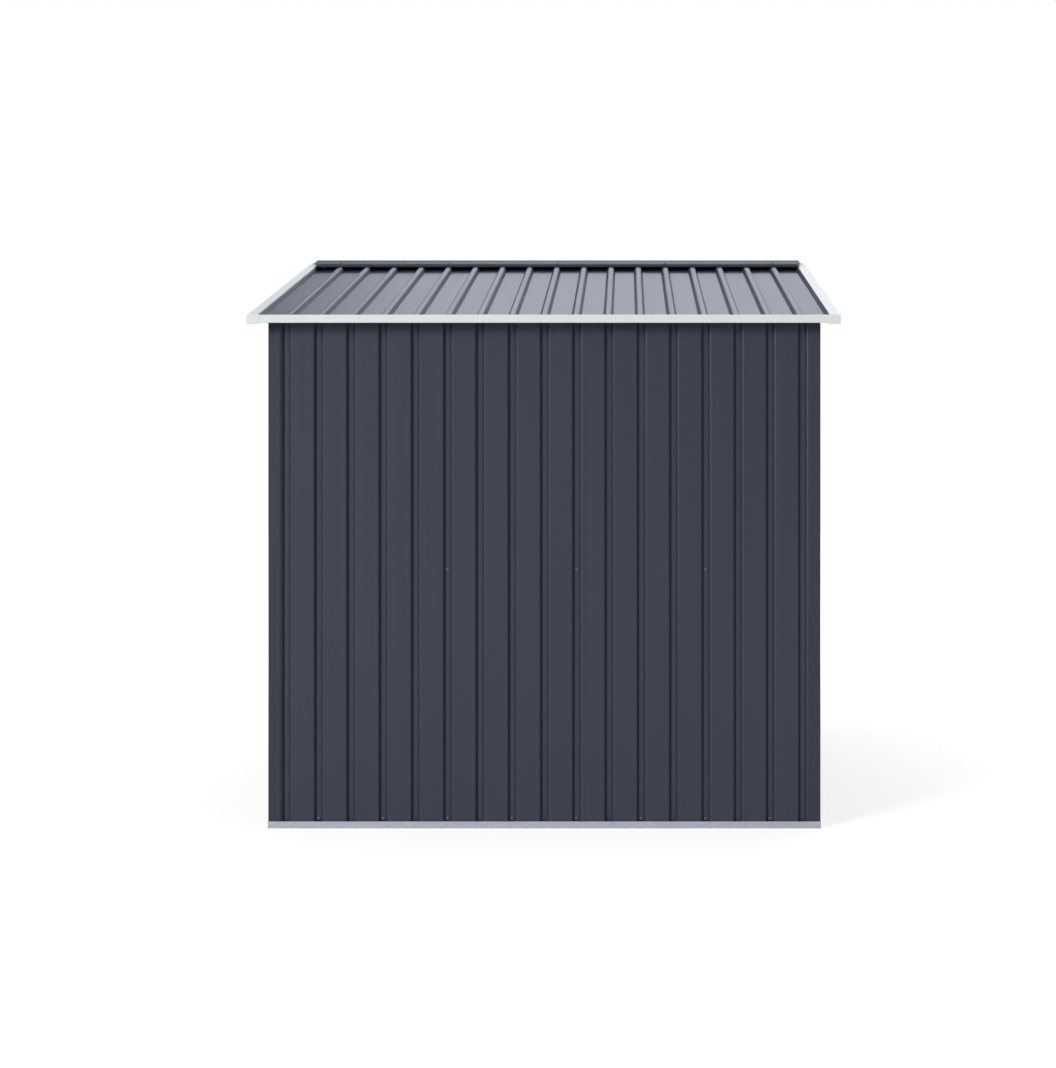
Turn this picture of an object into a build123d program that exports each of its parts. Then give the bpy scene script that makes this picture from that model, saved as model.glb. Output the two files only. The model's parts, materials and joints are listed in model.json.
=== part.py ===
from build123d import *
import math
import os

# Metal storage shed with a low apex roof, made of grooved wall sheets on a light folded frame.
# X runs along the plain eave walls and the ridge. The front eave wall faces -Y, the gable with
# the sliding doors faces +X, and Z is up. The origin is on the ground in the middle of the shed.
# Lengths are in millimetres and angles in degrees.

# Wall sheets
sheet = 0.8
wall_pitch = 113
eave_wall_grooves = 17
gable_grooves = 24
corner_margin = 60
groove_mouth = 33
groove_floor = 15
groove_depth = 12
lip_ease = 2.5
lap_edge = 12
eave_wall_laps = (6, 10, 14)
gable_laps = (5, 10, 15, 20)
eave_height = 1786
roof_gap = 3

# Frame of folded channels and angles
rail_sheet = 1.5
rail_lip = 24.5
rail_upstand = 50
rail_foot = 40
rail_clearance = 0.3
anchor_radius = 5.5
anchor_from_corner = 250
member_sheet = 1.5
member_flange = 30
member_depth = 42
mid_rail_height = 907
ridge_beam_width = 70
joint_gap = 1

# Trims folded from flat strip
trim = 1.2
corner_leg = 40
trim_height = 26.5
trim_clearance = 0.6
trim_hook = 8
trim_return = 10
trim_web_setback = 50
trim_inner_flange = 30

# Roof sheets and ridge cap
roof_slope = 13
roof_ribs = 19
rib_base = 36
rib_crest = 18
rib_height = 16.5
roof_edge = 6
roof_laps = (7, 13)
eave_overhang = 60
verge_overhang = 66
ridge_opening = 12
cap_reach = 125
cap_lip = 10
cap_setback = 24
cap_clearance = 2
corner_cap_width = 42
corner_cap_rim = 2

# Sliding doors, closed, behind the right gable
door_grooves = 10
door_head_below_eave = 186
door_clearance = 1.2
door_overlap = 20
door_entry = 15
door_frame_depth = 20
door_frame_width = 35
door_meeting_gap = 1.5
header_lap = 25
jamb_leg = 25
track_height = 50
track_depth = 45
track_lip = 25
handle_height = 950
handle_length = 170
handle_foot = 23
handle_ramp = 12
handle_reach = 28
handle_width = 16
handle_thickness = 3
handle_bend = 5
handle_from_meeting = 24

# Sizes that follow from those above
half_width = (eave_wall_grooves - 1) * wall_pitch / 2 + corner_margin
half_length = (gable_grooves - 1) * wall_pitch / 2 + corner_margin
wall_back = groove_depth + sheet
wall_top = eave_height - roof_gap
slope_cos = math.cos(math.radians(roof_slope))
slope_sin = math.sin(math.radians(roof_slope))
slope_tan = math.tan(math.radians(roof_slope))
ridge_height = eave_height + half_length * slope_tan
door_head = eave_height - door_head_below_eave
verge_half_width = half_width + verge_overhang
roof_half = verge_half_width - trim - trim_clearance
last_rib = roof_half - roof_edge - rib_base / 2
rib_pitch = 2 * last_rib / (roof_ribs - 1)
verge_flange = verge_half_width - last_rib + rib_crest / 2
roof_crest = rib_height + 2 * sheet
roof_run = (half_length + eave_overhang) / slope_cos
eave_face = eave_overhang + roof_crest * slope_sin + trim_clearance + trim
eave_trim_top = eave_height - eave_overhang * slope_tan + roof_crest * slope_cos + trim_clearance + trim
eave_trim_bottom = eave_trim_top - trim_height
verge_drop = (eave_height - trim_web_setback * slope_tan - eave_trim_bottom) * slope_cos + trim + trim_clearance
verge_foot = eave_height - eave_face * slope_tan - verge_drop / slope_cos
door_half = door_grooves * wall_pitch / 2
leaf_face = wall_back + 2 * rail_sheet + door_clearance
rail_outside = sheet + trim + rail_clearance
rail_inside = wall_back + 2 * rail_sheet

# Plan of each wall: local x runs to the right as seen from outside, local y runs inwards from the
# outer face of the sheets, and z is up.
front_wall = Plane(origin=(0, -half_length, 0), x_dir=(1, 0, 0), z_dir=(0, 0, 1))
right_wall = Plane(origin=(half_width, 0, 0), x_dir=(0, 1, 0), z_dir=(0, 0, 1))
back_wall = Plane(origin=(0, half_length, 0), x_dir=(-1, 0, 0), z_dir=(0, 0, 1))
left_wall = Plane(origin=(-half_width, 0, 0), x_dir=(0, -1, 0), z_dir=(0, 0, 1))

# Each roof slope: local z runs down the slope from the ridge, local y points out of the roof and
# is 0 on the underside of the sheets.
front_slope = Plane(origin=(0, 0, ridge_height), x_dir=(1, 0, 0), z_dir=(0, -slope_cos, -slope_sin))
back_slope = Plane(origin=(0, 0, ridge_height), x_dir=(-1, 0, 0), z_dir=(0, slope_cos, -slope_sin))

pieces = {}


def keep(name, piece):
    piece.part.label = name
    pieces[name] = piece.part


def row(count, pitch):
    """Centres of a row of grooves or ribs spread evenly about the middle."""
    return [(number - (count - 1) / 2) * pitch for number in range(count)]


def underside(inwards):
    """Height of the underside of the roof sheets, at a distance inwards from the eave wall."""
    return eave_height + inwards * slope_tan


def section(wall):
    """Cross-section plane of a wall: local x runs inwards and local y runs up."""
    return Plane(origin=wall.origin, x_dir=wall.y_dir, z_dir=wall.x_dir)


def eased(corner, before, after, ease):
    """A corner of an outline, or the two ends of the flat that takes its place."""
    if ease == 0:
        return [corner]
    ends = []
    for neighbour in (before, after):
        run = math.dist(corner, neighbour)
        ends.append(tuple(c + (n - c) * ease / run for c, n in zip(corner, neighbour)))
    return ends


def pressed_sheet(plane, start, end, centres, level, form, length):
    """A pressed sheet with one fold-in or rib at each centre, extruded along the plane's normal.

    form is the width at the sheet, the width at the far end, the depth, and how far the foot
    and the far corners are eased.
    """
    wide, narrow, depth, foot_ease, far_ease = form
    corners = [(start, level)]
    eases = [0]
    for centre in centres:
        corners.append((centre - wide / 2, level))
        corners.append((centre - narrow / 2, level + depth))
        corners.append((centre + narrow / 2, level + depth))
        corners.append((centre + wide / 2, level))
        eases.extend((foot_ease, far_ease, far_ease, foot_ease))
    corners.append((end, level))
    eases.append(0)
    near = [corners[0]]
    for before, corner, after, ease in zip(corners, corners[1:], corners[2:], eases[1:]):
        near.extend(eased(corner, before, after, ease))
    near.append(corners[-1])
    far = [(x, y + sheet) for x, y in near]
    with BuildPart() as pressed:
        with BuildSketch(plane):
            with BuildLine():
                Polyline(*near, *reversed(far), close=True)
            make_face()
        extrude(amount=length)
    return pressed


def folded_strip(plane, fold, thickness, side, half_run):
    """A strip folded along an open line and extruded both ways along the plane's normal."""
    with BuildPart() as strip:
        with BuildSketch(plane):
            with BuildLine():
                Polyline(*fold)
                offset(amount=thickness, side=side, kind=Kind.INTERSECTION)
            make_face()
        extrude(amount=half_run, both=True)
    return strip


# Base rails: a channel that holds the foot of the wall between a low outer lip and a doubled
# upstand, with a foot that is anchored to the ground. The ends are mitred at the corners.
rail_profile = [
    (-rail_outside - rail_sheet, 0),
    (rail_inside + rail_foot, 0),
    (rail_inside + rail_foot, rail_sheet),
    (rail_inside, rail_sheet),
    (rail_inside, rail_upstand),
    (wall_back, rail_upstand),
    (wall_back, rail_sheet),
    (-rail_outside, rail_sheet),
    (-rail_outside, rail_lip),
    (-rail_outside - rail_sheet, rail_lip),
]


def base_rail(wall, half_side, anchored):
    long_end = half_side + rail_outside + rail_sheet
    short_end = half_side - rail_inside - rail_foot
    with BuildPart() as rail:
        with BuildSketch(section(wall)):
            with BuildLine():
                Polyline(*rail_profile, close=True)
            make_face()
        extrude(amount=long_end, both=True)
        with BuildSketch(wall):
            with BuildLine():
                Polyline(
                    (-long_end, -rail_outside - rail_sheet),
                    (long_end, -rail_outside - rail_sheet),
                    (short_end, rail_inside + rail_foot),
                    (-short_end, rail_inside + rail_foot),
                    close=True,
                )
            make_face()
        extrude(amount=rail_upstand, mode=Mode.INTERSECT)
        if anchored:
            anchor = half_side - anchor_from_corner
            with BuildSketch(wall):
                with Locations((-anchor, rail_inside + rail_foot / 2), (anchor, rail_inside + rail_foot / 2)):
                    Circle(anchor_radius)
            extrude(amount=rail_sheet, mode=Mode.SUBTRACT)
    return rail


keep("base_rail_front", base_rail(front_wall, half_width, True))
keep("base_rail_back", base_rail(back_wall, half_width, True))
keep("base_rail_left", base_rail(left_wall, half_length, False))
keep("base_rail_right", base_rail(right_wall, half_length, False))

# Wall sheets: neighbours share one groove, where every second sheet lies outside by its own
# thickness so that the two grooves nest.
wall_form = (groove_mouth, groove_floor, groove_depth, lip_ease, 0)


def lapped_spans(count, pitch, laps, wide, edge):
    """Start, end and groove centres of each sheet of a lapped row, its outer edges at +-edge."""
    centres = row(count, pitch)
    firsts = (1,) + laps
    lasts = laps + (count,)
    spans = []
    for first, last in zip(firsts, lasts):
        start = -edge if first == 1 else centres[first - 1] - wide / 2 - lap_edge
        end = edge if last == count else centres[last - 1] + wide / 2 + lap_edge
        spans.append((start, end, centres[first - 1 : last]))
    return spans


for name, wall in (("front", front_wall), ("back", back_wall)):
    spans = lapped_spans(eave_wall_grooves, wall_pitch, eave_wall_laps, groove_mouth, half_width)
    for number, (start, end, centres) in enumerate(spans):
        level = -sheet * (number % 2)
        foot = wall.offset(rail_sheet)
        panel = pressed_sheet(foot, start, end, centres, level, wall_form, wall_top - rail_sheet)
        keep(f"{name}_wall_sheet_{number + 1}", panel)


def cut_to_roof(panel):
    """Cuts the top of a gable sheet to the two slopes of the roof."""
    with BuildPart() as cut:
        add(panel.part)
        with BuildSketch(Plane.YZ):
            with BuildLine():
                Polyline(
                    (-half_length, 0),
                    (half_length, 0),
                    (half_length, wall_top),
                    (0, ridge_height - roof_gap),
                    (-half_length, wall_top),
                    close=True,
                )
            make_face()
        extrude(amount=half_width + rail_outside, both=True, mode=Mode.INTERSECT)
    return cut


gable_edge = half_length - sheet
spans = lapped_spans(gable_grooves, wall_pitch, gable_laps, groove_mouth, gable_edge)
for number, (start, end, centres) in enumerate(spans):
    level = -sheet * ((number + 1) % 2)
    foot = left_wall.offset(rail_sheet)
    panel = pressed_sheet(foot, start, end, centres, level, wall_form, ridge_height - rail_sheet)
    keep(f"left_gable_sheet_{number + 1}", cut_to_roof(panel))

# The right gable is split beside and over the doorway. The header panel laps behind the sheets
# at its sides.
gable_row = row(gable_grooves, wall_pitch)
side_centres = [centre for centre in gable_row if centre > door_half]
header_centres = [centre for centre in gable_row if abs(centre) < door_half]
foot = right_wall.offset(rail_sheet)
side_height = ridge_height - rail_sheet
back_side = pressed_sheet(foot, door_half + trim, gable_edge, side_centres, -sheet, wall_form, side_height)
keep("right_gable_sheet_back", cut_to_roof(back_side))
with BuildPart() as right_gable_sheet_front:
    mirror(pieces["right_gable_sheet_back"], about=Plane.XZ)
keep("right_gable_sheet_front", right_gable_sheet_front)
header_edge = door_half + header_lap
header = pressed_sheet(
    right_wall.offset(door_head), -header_edge, header_edge, header_centres, 0, wall_form, side_height
)
keep("door_header_panel", cut_to_roof(header))

# Corner trims: folded angles over the ends of the wall sheets.
with BuildPart() as corner_trim:
    with BuildSketch(Plane.XY.offset(rail_sheet)):
        with BuildLine():
            Polyline(
                (half_width + sheet - corner_leg, -half_length - sheet),
                (half_width + sheet, -half_length - sheet),
                (half_width + sheet, -half_length - sheet + corner_leg),
            )
            offset(amount=trim, side=Side.RIGHT, kind=Kind.INTERSECTION)
        make_face()
    extrude(amount=wall_top - rail_sheet)
keep("corner_trim_front_right", corner_trim)
with BuildPart() as corner_trim_front_left:
    mirror(corner_trim.part, about=Plane.YZ)
keep("corner_trim_front_left", corner_trim_front_left)
for side in ("right", "left"):
    with BuildPart() as corner_trim_back:
        mirror(pieces[f"corner_trim_front_{side}"], about=Plane.XZ)
    keep(f"corner_trim_back_{side}", corner_trim_back)

# Mid rails: channels half way up the two eave walls and the plain gable, screwed to the grooves.
mid_low = mid_rail_height - member_depth / 2
mid_high = mid_rail_height + member_depth / 2
mid_fold = [
    (wall_back + member_flange, mid_low),
    (wall_back, mid_low),
    (wall_back, mid_high),
    (wall_back + member_flange, mid_high),
]
eave_wall_inside = half_width - wall_back
gable_inside = half_length - wall_back
front_mid = folded_strip(section(front_wall), mid_fold, member_sheet, Side.RIGHT, eave_wall_inside)
gable_mid_run = gable_inside - member_flange - joint_gap
gable_mid = folded_strip(section(left_wall), mid_fold, member_sheet, Side.RIGHT, gable_mid_run)
with BuildPart() as mid_rails:
    add(front_mid.part)
    mirror(front_mid.part, about=Plane.XZ)
    add(gable_mid.part)
keep("mid_rails", mid_rails)

# Wall plates: angles along the top of the eave walls, with one flange under the roof sheets.
plate_fold = [
    (wall_back, wall_top - member_depth),
    (wall_back, underside(wall_back)),
    (wall_back + member_flange, underside(wall_back + member_flange)),
]
front_plate = folded_strip(section(front_wall), plate_fold, member_sheet, Side.RIGHT, eave_wall_inside)
with BuildPart() as wall_plates:
    add(front_plate.part)
    mirror(front_plate.part, about=Plane.XZ)
keep("wall_plates", wall_plates)

# Gable rafters: angles up the inside of each gable, from wall plate to ridge beam.
rafter_start = (ridge_beam_width / 2 + member_depth * slope_sin) / slope_cos + joint_gap
rafter_end = (half_length - wall_back - member_flange) / slope_cos - joint_gap
with BuildPart() as gable_rafters:
    with BuildSketch(front_slope.offset(rafter_start)):
        with BuildLine():
            Polyline(
                (eave_wall_inside, -member_depth),
                (eave_wall_inside, 0),
                (eave_wall_inside - member_flange, 0),
            )
            offset(amount=member_sheet, side=Side.LEFT, kind=Kind.INTERSECTION)
        make_face()
    extrude(amount=rafter_end - rafter_start)
    mirror(about=Plane.YZ)
    mirror(about=Plane.XZ)
keep("gable_rafters", gable_rafters)

# Roof purlins: a ridge beam with a pitched top, and one channel half way down each slope.
beam_edge = ridge_beam_width / 2
beam_fold = [
    (-beam_edge, ridge_height - beam_edge * slope_tan - member_depth),
    (-beam_edge, ridge_height - beam_edge * slope_tan),
    (0, ridge_height),
    (beam_edge, ridge_height - beam_edge * slope_tan),
    (beam_edge, ridge_height - beam_edge * slope_tan - member_depth),
]
ridge_beam = folded_strip(Plane.YZ, beam_fold, member_sheet, Side.RIGHT, eave_wall_inside)
purlin_seat = Plane(
    origin=(0, -half_length / 2, underside(half_length / 2)),
    x_dir=(0, slope_cos, slope_sin),
    z_dir=(1, 0, 0),
)
purlin_fold = [(member_flange, -member_depth), (0, -member_depth), (0, 0), (member_flange, 0)]
purlin_run = eave_wall_inside - member_flange - joint_gap
purlin = folded_strip(purlin_seat, purlin_fold, member_sheet, Side.RIGHT, purlin_run)
with BuildPart() as roof_purlins:
    add(ridge_beam.part)
    add(purlin.part)
    mirror(purlin.part, about=Plane.XZ)
keep("roof_purlins", roof_purlins)

# Roof sheets: ribs stand up from the sheet and run down the slope, lapped like the wall sheets.
rib_form = (rib_base, rib_crest, rib_height, 0, lip_ease)
for name, slope in (("front", front_slope), ("back", back_slope)):
    spans = lapped_spans(roof_ribs, rib_pitch, roof_laps, rib_base, roof_half)
    for number, (start, end, centres) in enumerate(spans):
        level = sheet * (number % 2)
        top = slope.offset(ridge_opening)
        panel = pressed_sheet(top, start, end, centres, level, rib_form, roof_run - ridge_opening)
        keep(f"roof_{name}_sheet_{number + 1}", panel)

# Ridge cap: a shallow folded cover whose turned-down edges stand on the rib crests. The edges stop
# short of the verge trims, and the cover passes over them.
crest_ridge = ridge_height + roof_crest / slope_cos
cap_edge = crest_ridge - cap_reach * slope_tan
cap_cover = [(-cap_reach, cap_edge + cap_lip), (0, crest_ridge + cap_lip), (cap_reach, cap_edge + cap_lip)]
cap_fold = [(-cap_reach, cap_edge)] + cap_cover + [(cap_reach, cap_edge)]
cap_edge_run = verge_half_width - verge_flange - cap_clearance
cap_middle = folded_strip(Plane.YZ, cap_fold, trim, Side.LEFT, cap_edge_run)
cap_top = folded_strip(Plane.YZ, cap_cover, trim, Side.LEFT, verge_half_width - cap_setback)
with BuildPart() as ridge_cap:
    add(cap_middle.part)
    add(cap_top.part)
keep("ridge_cap", ridge_cap)

# Eave trims: a flange under the roof sheets, folded down and out to a face that hooks over the
# ends of the ribs.
eave_fold = [
    (trim_inner_flange - trim_web_setback, underside(trim_inner_flange - trim_web_setback)),
    (-trim_web_setback, underside(-trim_web_setback)),
    (-trim_web_setback, eave_trim_bottom + trim),
    (trim - eave_face, eave_trim_bottom + trim),
    (trim - eave_face, eave_trim_top - trim),
    (trim - eave_face + trim_hook, eave_trim_top - trim + trim_hook * slope_tan),
]
eave_trim_run = verge_half_width - trim - trim_clearance
eave_trim_front = folded_strip(section(front_wall), eave_fold, trim, Side.LEFT, eave_trim_run)
keep("eave_trim_front", eave_trim_front)
with BuildPart() as eave_trim_back:
    mirror(eave_trim_front.part, about=Plane.XZ)
keep("eave_trim_back", eave_trim_back)

# Verge trims: folded over the last rib and down the gable edge of the roof, cut plumb at the
# ridge and at the eave, with a plate that closes the corner over the end of the eave trim.
verge_top = rib_height + sheet + trim
with BuildPart() as verge_trim:
    with BuildSketch(front_slope.offset(-verge_flange)):
        with BuildLine():
            Polyline(
                (verge_half_width - verge_flange, verge_top),
                (verge_half_width, verge_top),
                (verge_half_width, -verge_drop),
                (verge_half_width - trim_return, -verge_drop),
            )
            offset(amount=trim, side=Side.RIGHT, kind=Kind.INTERSECTION)
        make_face()
    extrude(amount=roof_run + 2 * verge_flange)
    with BuildSketch(Plane.XY):
        with Locations((0, -half_length - eave_face)):
            Rectangle(
                2 * verge_half_width, half_length + eave_face - joint_gap / 2, align=(Align.CENTER, Align.MIN)
            )
    extrude(amount=2 * ridge_height, mode=Mode.INTERSECT)
    with BuildSketch(Plane.XY):
        with Locations((verge_half_width - trim, -half_length - eave_face)):
            Rectangle(verge_flange, trim + trim_clearance, align=(Align.MAX, Align.MIN))
    extrude(amount=2 * ridge_height, mode=Mode.SUBTRACT)
    with BuildSketch(Plane.XY.offset(verge_foot)):
        with Locations((verge_half_width, -half_length - eave_face)):
            Rectangle(corner_cap_width, trim, align=(Align.MAX, Align.MAX))
    extrude(amount=eave_trim_top + corner_cap_rim - verge_foot)
keep("verge_trim_front_right", verge_trim)
with BuildPart() as verge_trim_front_left:
    mirror(verge_trim.part, about=Plane.YZ)
keep("verge_trim_front_left", verge_trim_front_left)
for side in ("right", "left"):
    with BuildPart() as verge_trim_back:
        mirror(pieces[f"verge_trim_front_{side}"], about=Plane.XZ)
    keep(f"verge_trim_back_{side}", verge_trim_back)

# Door jambs: folded channels over the cut edges of the sheets beside the doorway.
with BuildPart() as door_jambs:
    with BuildSketch(right_wall.offset(rail_upstand)):
        with BuildLine():
            Polyline(
                (door_half + jamb_leg, -sheet - trim),
                (door_half, -sheet - trim),
                (door_half, wall_back + trim),
                (door_half + jamb_leg, wall_back + trim),
            )
            offset(amount=trim, side=Side.RIGHT, kind=Kind.INTERSECTION)
        make_face()
    extrude(amount=door_head - rail_upstand)
    mirror(about=Plane.XZ)
keep("door_jambs", door_jambs)

# Door track: a channel across the gable that the leaves hang in.
track_fold = [
    (wall_back, door_head),
    (wall_back, door_head + track_height),
    (wall_back + track_depth, door_head + track_height),
    (wall_back + track_depth, door_head + track_height - track_lip),
]
door_track = folded_strip(section(right_wall), track_fold, member_sheet, Side.RIGHT, gable_inside - joint_gap)
keep("door_track", door_track)

# Door leaves: a grooved sheet on a frame, closed against each other in the middle.
leaf_start = door_meeting_gap / 2
leaf_end = door_half + door_overlap
leaf_height = door_head + door_entry - rail_sheet
leaf_centres = [centre for centre in header_centres if centre > 0]
leaf_foot = right_wall.offset(rail_sheet)
leaf_sheet = pressed_sheet(leaf_foot, leaf_start, leaf_end, leaf_centres, leaf_face, wall_form, leaf_height)
leaf_frame = Plane(origin=(half_width - leaf_face - wall_back, 0, 0), x_dir=(0, 1, 0), z_dir=(1, 0, 0))
with BuildPart() as door_leaf_back:
    add(leaf_sheet.part)
    with BuildSketch(leaf_frame):
        with Locations(((leaf_start + leaf_end) / 2, rail_sheet + leaf_height / 2)):
            Rectangle(leaf_end - leaf_start, leaf_height)
            Rectangle(
                leaf_end - leaf_start - 2 * door_frame_width,
                leaf_height - 2 * door_frame_width,
                mode=Mode.SUBTRACT,
            )
    extrude(amount=-door_frame_depth)
keep("door_leaf_back", door_leaf_back)
with BuildPart() as door_leaf_front:
    mirror(door_leaf_back.part, about=Plane.XZ)
keep("door_leaf_front", door_leaf_front)

# Door handles: a bent strap on each leaf beside the meeting edges.
handle_end = handle_length / 2
grip_end = handle_end - handle_foot - handle_ramp
handle_side = Plane(
    origin=(half_width - leaf_face, handle_from_meeting, handle_height), x_dir=(1, 0, 0), z_dir=(0, -1, 0)
)
with BuildPart() as door_handles:
    with BuildSketch(handle_side):
        with BuildLine():
            FilletPolyline(
                (0, -handle_end),
                (0, handle_foot - handle_end),
                (handle_reach, -grip_end),
                (handle_reach, grip_end),
                (0, handle_end - handle_foot),
                (0, handle_end),
                radius=handle_bend,
            )
            offset(amount=handle_thickness, side=Side.RIGHT, kind=Kind.ARC)
        make_face()
    extrude(amount=handle_width / 2, both=True)
    mirror(about=Plane.XZ)
keep("door_handles", door_handles)

os.makedirs("parts", exist_ok=True)
for name, piece in pieces.items():
    export_step(piece, f"parts/{name}.step")
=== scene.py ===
import json
import math

import bpy
from mathutils import Matrix, Vector


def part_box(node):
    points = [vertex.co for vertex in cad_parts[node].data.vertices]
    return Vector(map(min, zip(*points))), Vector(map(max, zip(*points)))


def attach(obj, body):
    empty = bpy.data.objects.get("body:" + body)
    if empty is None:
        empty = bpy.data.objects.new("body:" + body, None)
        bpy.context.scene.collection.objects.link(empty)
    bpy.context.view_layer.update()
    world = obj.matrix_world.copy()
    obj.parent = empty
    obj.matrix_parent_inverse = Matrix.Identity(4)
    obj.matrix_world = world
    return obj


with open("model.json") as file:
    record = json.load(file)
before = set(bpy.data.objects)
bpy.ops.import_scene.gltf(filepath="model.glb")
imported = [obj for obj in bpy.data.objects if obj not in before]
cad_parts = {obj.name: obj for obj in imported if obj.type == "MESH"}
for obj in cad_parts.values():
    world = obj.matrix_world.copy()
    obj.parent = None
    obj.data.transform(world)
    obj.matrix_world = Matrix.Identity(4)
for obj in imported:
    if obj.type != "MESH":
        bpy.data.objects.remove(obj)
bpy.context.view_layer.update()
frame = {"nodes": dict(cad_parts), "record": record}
nodes = frame["nodes"]
print("frame loaded:", len(nodes), "pieces")


# Camera
# The picture is 1056 x 1068 px. The depth lines meet at vanishX, and the horizon is at horizonY.
picture = {
    "width": 1056,
    "height": 1068,
    "vanishX": 627,
    "horizonY": 466,
    "focal": 1971.5,  # px, from how much closer the roof ribs stand at the ridge than at the eave
    "wallDistance": 6.9,
    "offsetX": 0.289,
    "eyeHeight": 1.268,
    "sensor": 36.0,  # mm
    "clipEnd": 100,
}


def addCamera():
    longSide = max(picture["width"], picture["height"])
    data = bpy.data.cameras.new("photoCamera")
    data.sensor_width = picture["sensor"]
    data.lens = picture["focal"] / longSide * picture["sensor"]
    data.shift_x = (picture["width"] / 2 - picture["vanishX"]) / longSide
    data.shift_y = (picture["horizonY"] - picture["height"] / 2) / longSide
    data.clip_end = picture["clipEnd"]
    camera = bpy.data.objects.new("photoCamera", data)
    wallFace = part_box("front_wall_sheet_1")[0][1]
    camera.location = (picture["offsetX"], wallFace - picture["wallDistance"], picture["eyeHeight"])
    camera.rotation_euler = (math.radians(90), 0, 0)
    bpy.context.collection.objects.link(camera)
    bpy.context.scene.camera = camera


addCamera()
print("camera placed")


# Materials
def hexToLinear(code):  # "#404551" as sRGB to linear RGBA
    channels = [int(code[i : i + 2], 16) / 255 for i in (1, 3, 5)]
    return tuple(c / 12.92 if c <= 0.04045 else ((c + 0.055) / 1.055) ** 2.4 for c in channels) + (1.0,)


def addNode(tree, kind, inputs=None, **settings):
    node = tree.nodes.new(kind)
    for name, value in settings.items():
        setattr(node, name, value)
    for name, value in (inputs or {}).items():
        if isinstance(value, bpy.types.NodeSocket):
            tree.links.new(value, node.inputs[name])
        else:
            node.inputs[name].default_value = value
    return node


def newMaterial(name):
    material = bpy.data.materials.new(name)
    material.use_nodes = True
    tree = material.node_tree
    tree.nodes.clear()
    shader = addNode(tree, "ShaderNodeBsdfPrincipled")
    addNode(tree, "ShaderNodeOutputMaterial", {"Surface": shader.outputs["BSDF"]})
    place = addNode(tree, "ShaderNodeTexCoord")
    return material, tree, shader, place.outputs["Object"]


def perMetre(millimetres):  # texture scale of a pattern that repeats about every so many mm
    return 1000.0 / millimetres


# The colour mix node has its two colours at inputs 6 and 7.
def paintedSheet(name, paint):
    # Polyester coil coating on thin rolled steel: one even satin colour, with a fine orange peel
    # from the roller, faint streaks along the rolling direction, and slow waves in the thin sheet.
    material, tree, shader, place = newMaterial(name)
    along = addNode(tree, "ShaderNodeMapping", {"Vector": place, "Scale": paint["rolling"]})
    streak = addNode(
        tree,
        "ShaderNodeTexNoise",
        {"Vector": along.outputs["Vector"], "Scale": perMetre(paint["streakMm"]), "Detail": 3.0},
    )
    colour = addNode(
        tree,
        "ShaderNodeMix",
        {0: streak.outputs["Fac"], 6: hexToLinear(paint["dark"]), 7: hexToLinear(paint["light"])},
        data_type="RGBA",
    )
    rough = addNode(
        tree,
        "ShaderNodeMapRange",
        {
            "Value": streak.outputs["Fac"],
            "To Min": paint["rough"] - paint["roughSpread"],
            "To Max": paint["rough"] + paint["roughSpread"],
        },
    )
    wave = addNode(
        tree, "ShaderNodeTexNoise", {"Vector": place, "Scale": perMetre(paint["waveMm"]), "Detail": 1.0}
    )
    waveBump = addNode(
        tree,
        "ShaderNodeBump",
        {"Height": wave.outputs["Fac"], "Strength": 1.0, "Distance": paint["waveDeepMm"] / 1000},
    )
    peel = addNode(
        tree, "ShaderNodeTexNoise", {"Vector": place, "Scale": perMetre(paint["peelMm"]), "Detail": 1.0}
    )
    peelBump = addNode(
        tree,
        "ShaderNodeBump",
        {
            "Height": peel.outputs["Fac"],
            "Strength": 1.0,
            "Distance": paint["peelDeepMm"] / 1000,
            "Normal": waveBump.outputs["Normal"],
        },
    )
    tree.links.new(colour.outputs[2], shader.inputs["Base Color"])
    tree.links.new(rough.outputs["Result"], shader.inputs["Roughness"])
    tree.links.new(peelBump.outputs["Normal"], shader.inputs["Normal"])
    shader.inputs["IOR"].default_value = paint["ior"]
    return material


def zincSheet(name, zinc):
    # Zinc on steel: crystals that lie at slightly different angles, so each has its own grey and
    # its own gloss.
    material, tree, shader, place = newMaterial(name)
    spangle = addNode(
        tree,
        "ShaderNodeTexVoronoi",
        {"Vector": place, "Scale": perMetre(zinc["spangleMm"])},
        feature="F1",
    )
    shade = addNode(tree, "ShaderNodeSeparateColor", {"Color": spangle.outputs["Color"]})
    colour = addNode(
        tree,
        "ShaderNodeMix",
        {0: shade.outputs["Red"], 6: hexToLinear(zinc["dark"]), 7: hexToLinear(zinc["light"])},
        data_type="RGBA",
    )
    rough = addNode(
        tree,
        "ShaderNodeMapRange",
        {
            "Value": shade.outputs["Green"],
            "To Min": zinc["rough"] - zinc["roughSpread"],
            "To Max": zinc["rough"] + zinc["roughSpread"],
        },
    )
    tree.links.new(colour.outputs[2], shader.inputs["Base Color"])
    tree.links.new(rough.outputs["Result"], shader.inputs["Roughness"])
    shader.inputs["Metallic"].default_value = zinc["metallic"]
    return material


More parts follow.
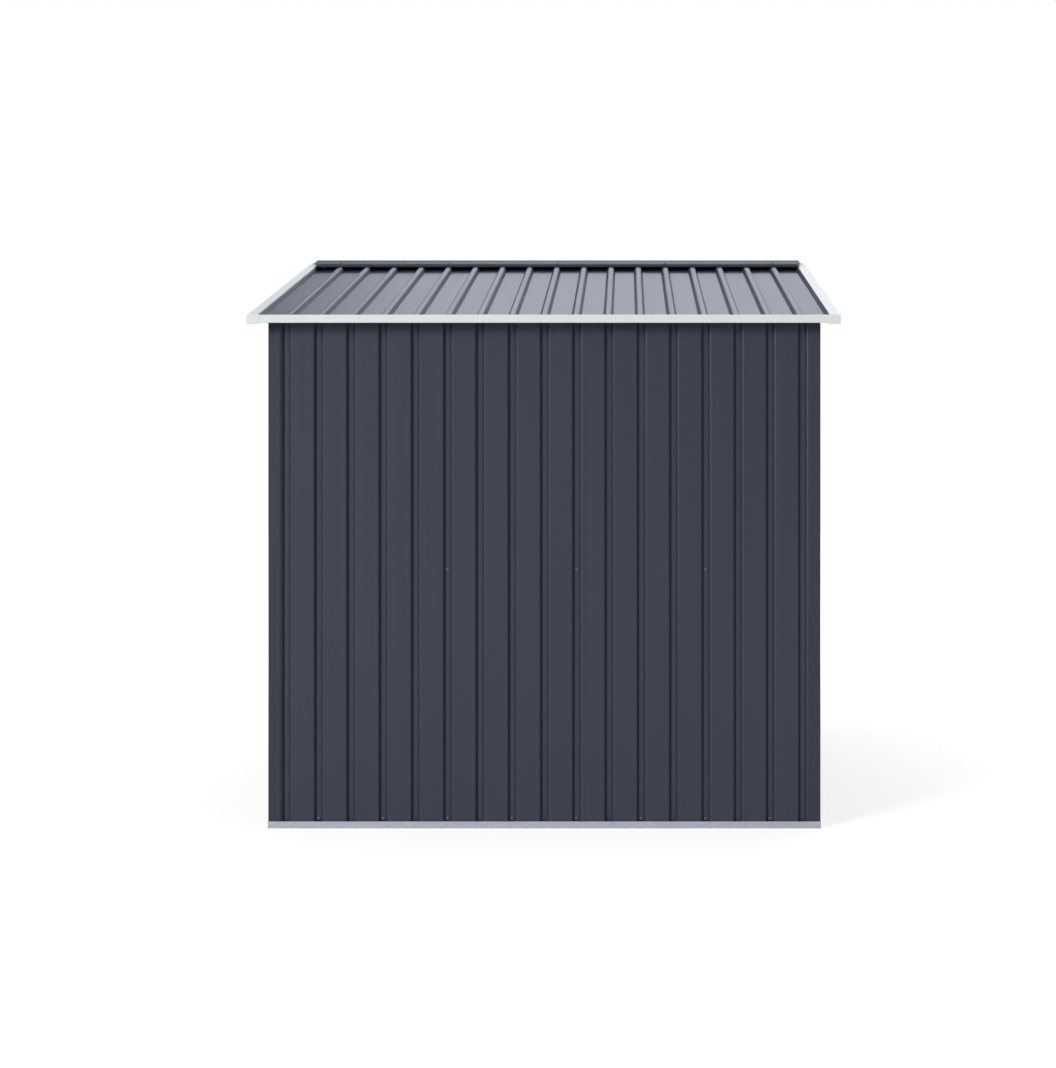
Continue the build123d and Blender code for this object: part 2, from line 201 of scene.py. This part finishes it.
anthracite = {
    "dark": "#323846",
    "light": "#373D4B",
    "rolling": (1, 1, 0.04),
    "streakMm": 45,
    "rough": 0.42,
    "roughSpread": 0.03,
    "waveMm": 420,
    "waveDeepMm": 1.2,
    "peelMm": 3.0,
    "peelDeepMm": 0.02,
    "ior": 1.4,
}
roofPaint = dict(anthracite, rolling=(1, 0.04, 0.04), waveDeepMm=1.6, ior=1.5)
flashing = dict(
    anthracite,
    dark="#3A3D48",
    light="#3F424D",
    rolling=(1, 1, 1),
    streakMm=225,
    waveDeepMm=0.4,
    rough=0.56,
    ior=1.28,
)
white = dict(flashing, dark="#EBF3EF", light="#EEF6F2", waveDeepMm=0.2, rough=0.4, ior=1.4)
blackCoat = dict(flashing, dark="#141416", light="#1A1A1C", waveDeepMm=0.0, peelDeepMm=0.05, rough=0.5)
zincCoat = {
    "dark": "#AEB1BA",
    "light": "#B8BBC4",
    "spangleMm": 9,
    "rough": 0.45,
    "roughSpread": 0.05,
    "metallic": 0.8,
}
frameZinc = dict(zincCoat, dark="#9CA1A8", light="#B0B5BC")
plating = dict(zincCoat, dark="#585D64", light="#62676E", spangleMm=3, rough=0.5, metallic=1.0)

finishes = {
    "wall_sheet": paintedSheet("anthracite coil-coated wall steel", anthracite),
    "anthracite_trim": paintedSheet("anthracite coated flashing", flashing),
    "roof_sheet": paintedSheet("anthracite coil-coated roof steel", roofPaint),
    "white_trim": paintedSheet("white coated flashing", white),
    "galvanised_rail": zincSheet("hot-dip galvanised steel", zincCoat),
    "galvanised_frame": zincSheet("galvanised frame steel", frameZinc),
    "handle": paintedSheet("black powder-coated steel", blackCoat),
}
screwZinc = zincSheet("zinc-plated steel", plating)


def dressFrame():
    slots = {part["node"]: part["material_slot"] for part in frame["record"]["subparts"]}
    for name, item in nodes.items():
        item.data.materials.clear()
        item.data.materials.append(finishes[slots[name]])


dressFrame()
print("finishes on the sheets, trims and frame")


# Screws, in metres
screw = {
    "washerRadius": 0.0050,
    "washerHigh": 0.0010,
    "washerSides": 16,
    "domeIn": 0.3,  # share of the washer's radius
    "domeRise": 0.4,  # share of its thickness
    "headRadius": 0.0034,
    "headHigh": 0.0030,
    "headEdge": 0.15,  # share of the head's radius
    "footSize": 1.3,  # those at the foot of the walls are this much larger
}
farOut = 4  # where the lines that look for a sheet start, outside the shed


def selectNone():
    bpy.ops.object.select_all(action="DESELECT")


def makeScrew():  # a hexagon head on a domed washer, standing along +Z on the sheet at z = 0
    selectNone()
    washerRadius, washerHigh = screw["washerRadius"], screw["washerHigh"]
    bpy.ops.mesh.primitive_cylinder_add(
        vertices=screw["washerSides"],
        radius=washerRadius,
        depth=washerHigh,
        location=(0, 0, washerHigh / 2),
    )
    washer = bpy.context.object
    bpy.ops.object.mode_set(mode="EDIT")
    bpy.ops.mesh.select_all(action="DESELECT")
    bpy.ops.object.mode_set(mode="OBJECT")
    for face in washer.data.polygons:
        face.select = face.normal.z > 0.9  # the top
    bpy.ops.object.mode_set(mode="EDIT")
    bpy.ops.mesh.inset(
        thickness=washerRadius * screw["domeIn"], depth=washerHigh * screw["domeRise"]
    )
    bpy.ops.object.mode_set(mode="OBJECT")
    selectNone()
    bpy.ops.mesh.primitive_cylinder_add(
        vertices=6,
        radius=screw["headRadius"],
        depth=screw["headHigh"],
        location=(0, 0, washerHigh + screw["headHigh"] / 2),
    )
    head = bpy.context.object
    bevel = head.modifiers.new("edge", "BEVEL")
    bevel.width = screw["headRadius"] * screw["headEdge"]
    bevel.segments = 1
    bpy.ops.object.modifier_apply(modifier="edge")
    washer.select_set(True)
    bpy.context.view_layer.objects.active = washer
    bpy.ops.object.join()
    bpy.ops.object.transform_apply(location=True, rotation=True, scale=True)
    return washer


screwPattern = makeScrew()


# Where a line meets the shed, the way out there, and the size of the screw to put there
def onSurface(start, direction, size=1.0):
    depsgraph = bpy.context.evaluated_depsgraph_get()
    hit, place, normal, *rest = bpy.context.scene.ray_cast(depsgraph, Vector(start), Vector(direction))
    if not hit:
        raise RuntimeError(f"no sheet for a screw at {tuple(start)}")
    return place, normal, size


def spreadScrews(name, spots, finish):  # a copy of the screw at each spot
    selectNone()
    for place, outward, size in spots:
        copy = screwPattern.copy()
        copy.data = screwPattern.data.copy()
        turn = Vector((0, 0, 1)).rotation_difference(outward).to_matrix().to_4x4()
        copy.data.transform(Matrix.Translation(place) @ turn @ Matrix.Scale(size, 4))
        bpy.context.collection.objects.link(copy)
        copy.select_set(True)
        bpy.context.view_layer.objects.active = copy
    bpy.ops.object.join()
    piece = bpy.context.object
    piece.name = name
    piece.data.materials.clear()
    piece.data.materials.append(finish)
    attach(piece, "root")


# Screws in the wall grooves, which are numbered from the left as seen from outside. Laps are the
# grooves that two sheets share.
wall = {
    "pitch": 0.113,
    "footHeight": 0.0315,
    "rafterDrop": 0.024,  # below the top of the sheet
    "eaveGrooves": 17,
    "eaveLaps": (6, 10, 14),
    "gableGrooves": 24,
    "gableLaps": (5, 10, 15, 20),
    "gableRafter": (2, 5, 10, 15, 20, 23),
    "doorGableFoot": (2, 4, 6, 19, 21, 23),
    "doorGableRafter": (2, 5, 8, 11, 14, 17, 20, 23),
    "doorTrack": (8, 11, 14, 17),
    "trackRise": 0.025,  # above the lower edge of the door track
}
wallSides = {  # the way out of the wall, and to the right along it
    "front": (Vector((0, -1, 0)), Vector((1, 0, 0))),
    "back": (Vector((0, 1, 0)), Vector((-1, 0, 0))),
    "left": (Vector((-1, 0, 0)), Vector((0, -1, 0))),
    "right": (Vector((1, 0, 0)), Vector((0, 1, 0))),
}
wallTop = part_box("front_wall_sheet_1")[1][2]
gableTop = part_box("left_gable_sheet_3")[1][2]
wallHalf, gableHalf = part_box("corner_trim_back_right")[1][:2]
slope = (gableTop - wallTop) / gableHalf
midHeight = (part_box("mid_rails")[0][2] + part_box("mid_rails")[1][2]) / 2


def grooveOffset(number, count):
    return (number - (count + 1) / 2) * wall["pitch"]


def inGroove(side, number, count, height, size=1.0):
    outward, along = wallSides[side]
    start = outward * farOut + along * grooveOffset(number, count) + Vector((0, 0, height))
    return onSurface(start, -outward, size)


def atFoot(side, numbers, count):
    return [inGroove(side, n, count, wall["footHeight"], screw["footSize"]) for n in numbers]


def underRafter(number, count):  # height of a screw into the rafter behind a gable groove
    return gableTop - abs(grooveOffset(number, count)) * slope - wall["rafterDrop"]


def eaveWallScrews(side):
    count = wall["eaveGrooves"]
    spots = [inGroove(side, n, count, midHeight) for n in wall["eaveLaps"]]
    spots += atFoot(side, range(2, count, 2), count)
    spreadScrews(f"{side}_wall_screws", spots, screwZinc)


def plainGableScrews():
    count = wall["gableGrooves"]
    spots = [inGroove("left", n, count, midHeight) for n in wall["gableLaps"]]
    spots += atFoot("left", range(2, count, 2), count)
    spots += [inGroove("left", n, count, underRafter(n, count)) for n in wall["gableRafter"]]
    spreadScrews("left_gable_screws", spots, screwZinc)


def doorGableScrews():
    count = wall["gableGrooves"]
    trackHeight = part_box("door_track")[0][2] + wall["trackRise"]
    spots = atFoot("right", wall["doorGableFoot"], count)
    spots += [inGroove("right", n, count, underRafter(n, count)) for n in wall["doorGableRafter"]]
    spots += [inGroove("right", n, count, trackHeight) for n in wall["doorTrack"]]
    spreadScrews("right_gable_screws", spots, screwZinc)


handle = {
    "inFoot": 0.0115,  # from the end of the handle to the middle of its foot
    "halfWidth": 0.008,
}


def handleScrews():  # one in the foot at each end of each handle
    low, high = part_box("door_handles")
    inFoot, halfWidth = handle["inFoot"], handle["halfWidth"]
    spots = []
    for y in (low[1] + halfWidth, high[1] - halfWidth):
        for z in (low[2] + inFoot, high[2] - inFoot):
            spots.append(onSurface((farOut, y, z), (-1, 0, 0)))
    spreadScrews("handle_screws", spots, finishes["handle"])


# Screws of the roof, with painted heads: in each second flat over the wall plates, behind the
# eave trims, and through the ridge cap into each fourth rib
roof = {
    "ribs": 19,
    "lastRibIn": 0.024,  # from the edge of the roof sheets to the middle of the last rib
    "plateIn": 0.030,  # from the face of the eave wall
    "capEdgeIn": 0.020,
    "flatSteps": (0, 2, 4, 6, 8),  # flats with a screw, counted from the middle to each side
    "ribSteps": (-8, -4, 0, 4, 8),  # ribs with a screw, counted from the middle rib
}


def roofScrews():
    lastRib = -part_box("roof_front_sheet_1")[0][0] - roof["lastRibIn"]
    pitch = 2 * lastRib / (roof["ribs"] - 1)
    wallFace = -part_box("front_wall_sheet_1")[0][1]
    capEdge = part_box("ridge_cap")[1][1] - roof["capEdgeIn"]
    plateLine = wallFace - roof["plateIn"]
    flats = [side * (step + 0.5) * pitch for step in roof["flatSteps"] for side in (-1, 1)]
    ribs = [step * pitch for step in roof["ribSteps"]]
    places = [(x, plateLine) for x in flats] + [(x, capEdge) for x in ribs]
    spots = [onSurface((x, side * y, farOut), (0, 0, -1)) for x, y in places for side in (-1, 1)]
    spreadScrews("roof_screws", spots, finishes["roof_sheet"])


eaveWallScrews("front")
eaveWallScrews("back")
plainGableScrews()
doorGableScrews()
handleScrews()
print("screws in the walls and handles")
roofScrews()
bpy.data.objects.remove(screwPattern)
print("screws in the roof")


# Stage and light
stage = {
    "floorSize": 60,
    "floorColour": "#C4C4C4",
    "glowNear": 0.7,  # how much of plain white the floor adds for the camera, by the shed
    "glowFar": 1.0,
    "farAway": 3.5,  # from here out the floor joins the white background
    "ambient": 0.40,
    "mirrorTint": "#E4ECFF",
    "mirrorLow": 0.35,  # what gloss sees near the horizon
    "mirrorHigh": 0.85,  # and overhead
    "lowUpTo": 0.1,  # Z of the direction where it starts to rise
    "highFrom": 0.5,
    "mirrorLeft": 0.5,  # share of it that is left towards -X
    "leftUpTo": -0.5,  # X of the direction where the share starts to rise
    "fullFrom": 0.05,
}


def seenDirectly(tree):  # what the camera sees, also through glass, and what gloss sees
    path = addNode(tree, "ShaderNodeLightPath")
    direct = addNode(
        tree,
        "ShaderNodeMath",
        {0: path.outputs["Is Camera Ray"], 1: path.outputs["Is Transmission Ray"]},
        operation="MAXIMUM",
    )
    return direct.outputs[0], path.outputs["Is Glossy Ray"]


def addFloor():  # white to the eye outside the shed, with a faint shadow; dark inside it
    selectNone()
    bpy.ops.mesh.primitive_plane_add(size=stage["floorSize"], location=(0, 0, 0))
    floor = bpy.context.object
    floor.name = "floor"
    material = bpy.data.materials.new("studio floor")
    material.use_nodes = True
    tree = material.node_tree
    tree.nodes.clear()
    direct, mirror = seenDirectly(tree)
    seen = addNode(tree, "ShaderNodeMath", {0: direct, 1: mirror}, operation="MAXIMUM")
    place = addNode(tree, "ShaderNodeTexCoord")
    across = addNode(tree, "ShaderNodeVectorMath", {0: place.outputs["Object"]}, operation="ABSOLUTE")
    past = addNode(
        tree,
        "ShaderNodeVectorMath",
        {0: across.outputs["Vector"], 1: (wallHalf, gableHalf, 0)},
        operation="SUBTRACT",
    )
    sides = addNode(tree, "ShaderNodeSeparateXYZ", {"Vector": past.outputs["Vector"]})
    distance = addNode(
        tree, "ShaderNodeMath", {0: sides.outputs["X"], 1: sides.outputs["Y"]}, operation="MAXIMUM"
    )
    fade = addNode(
        tree,
        "ShaderNodeMapRange",
        {
            "Value": distance.outputs[0],
            "From Min": 0.0,
            "From Max": stage["farAway"],
            "To Min": stage["glowNear"],
            "To Max": stage["glowFar"],
        },
        interpolation_type="SMOOTHSTEP",
    )
    outside = addNode(
        tree, "ShaderNodeMath", {0: distance.outputs[0], 1: 0.0}, operation="GREATER_THAN"
    )
    shown = addNode(
        tree, "ShaderNodeMath", {0: seen.outputs[0], 1: outside.outputs[0]}, operation="MULTIPLY"
    )
    glowing = addNode(
        tree, "ShaderNodeMath", {0: shown.outputs[0], 1: fade.outputs["Result"]}, operation="MULTIPLY"
    )
    pale = addNode(tree, "ShaderNodeBsdfDiffuse", {"Color": hexToLinear(stage["floorColour"])})
    glow = addNode(tree, "ShaderNodeEmission", {"Color": (1, 1, 1, 1), "Strength": glowing.outputs[0]})
    both = addNode(tree, "ShaderNodeAddShader", {0: pale.outputs[0], 1: glow.outputs[0]})
    addNode(tree, "ShaderNodeOutputMaterial", {"Surface": both.outputs[0]})
    floor.data.materials.append(material)


def addWorld():
    world = bpy.data.worlds.new("studio")
    bpy.context.scene.world = world
    world.use_nodes = True
    tree = world.node_tree
    tree.nodes.clear()
    direct, mirror = seenDirectly(tree)
    toward = addNode(tree, "ShaderNodeTexCoord")
    parts = addNode(tree, "ShaderNodeSeparateXYZ", {"Vector": toward.outputs["Generated"]})
    height = addNode(
        tree,
        "ShaderNodeMapRange",
        {
            "Value": parts.outputs["Z"],
            "From Min": stage["lowUpTo"],
            "From Max": stage["highFrom"],
            "To Min": stage["mirrorLow"],
            "To Max": stage["mirrorHigh"],
        },
        interpolation_type="SMOOTHSTEP",
    )
    side = addNode(
        tree,
        "ShaderNodeMapRange",
        {
            "Value": parts.outputs["X"],
            "From Min": stage["leftUpTo"],
            "From Max": stage["fullFrom"],
            "To Min": stage["mirrorLeft"],
            "To Max": 1.0,
        },
        interpolation_type="SMOOTHSTEP",
    )
    mirrored = addNode(
        tree,
        "ShaderNodeMath",
        {0: height.outputs["Result"], 1: side.outputs["Result"]},
        operation="MULTIPLY",
    )
    plain = addNode(tree, "ShaderNodeBackground", {"Color": (1, 1, 1, 1), "Strength": stage["ambient"]})
    gloss = addNode(
        tree,
        "ShaderNodeBackground",
        {"Color": hexToLinear(stage["mirrorTint"]), "Strength": mirrored.outputs[0]},
    )
    seen = addNode(tree, "ShaderNodeBackground", {"Color": (1, 1, 1, 1), "Strength": 1.0})
    lit = addNode(tree, "ShaderNodeMixShader", {0: mirror, 1: plain.outputs[0], 2: gloss.outputs[0]})
    both = addNode(tree, "ShaderNodeMixShader", {0: direct, 1: lit.outputs[0], 2: seen.outputs[0]})
    addNode(tree, "ShaderNodeOutputWorld", {"Surface": both.outputs[0]})


lampsAim = (0, 0, 1)  # the middle of the shed
lamps = {
    "key": {"at": (-13.5, -18.0, 8.8), "size": 7.5, "wide": 7.5, "power": 2980, "colour": "#FFFFFF"},
    "back": {"at": (2.4, 8.6, 9.0), "size": 4.0, "wide": 10.5, "power": 385, "colour": "#F1F5FF"},
}


def addLamps():
    for name, lamp in lamps.items():
        data = bpy.data.lights.new(name, "AREA")
        data.energy = lamp["power"]
        data.color = hexToLinear(lamp["colour"])[:3]
        data.shape = "RECTANGLE"
        data.size = lamp["wide"]
        data.size_y = lamp["size"]
        item = bpy.data.objects.new(name, data)
        item.location = lamp["at"]
        aim = Vector(lampsAim) - Vector(lamp["at"])
        item.rotation_euler = aim.to_track_quat("-Z", "Y").to_euler()
        bpy.context.collection.objects.link(item)


addFloor()
addWorld()
addLamps()
bpy.context.scene.view_settings.view_transform = "Standard"
print("stage lit")
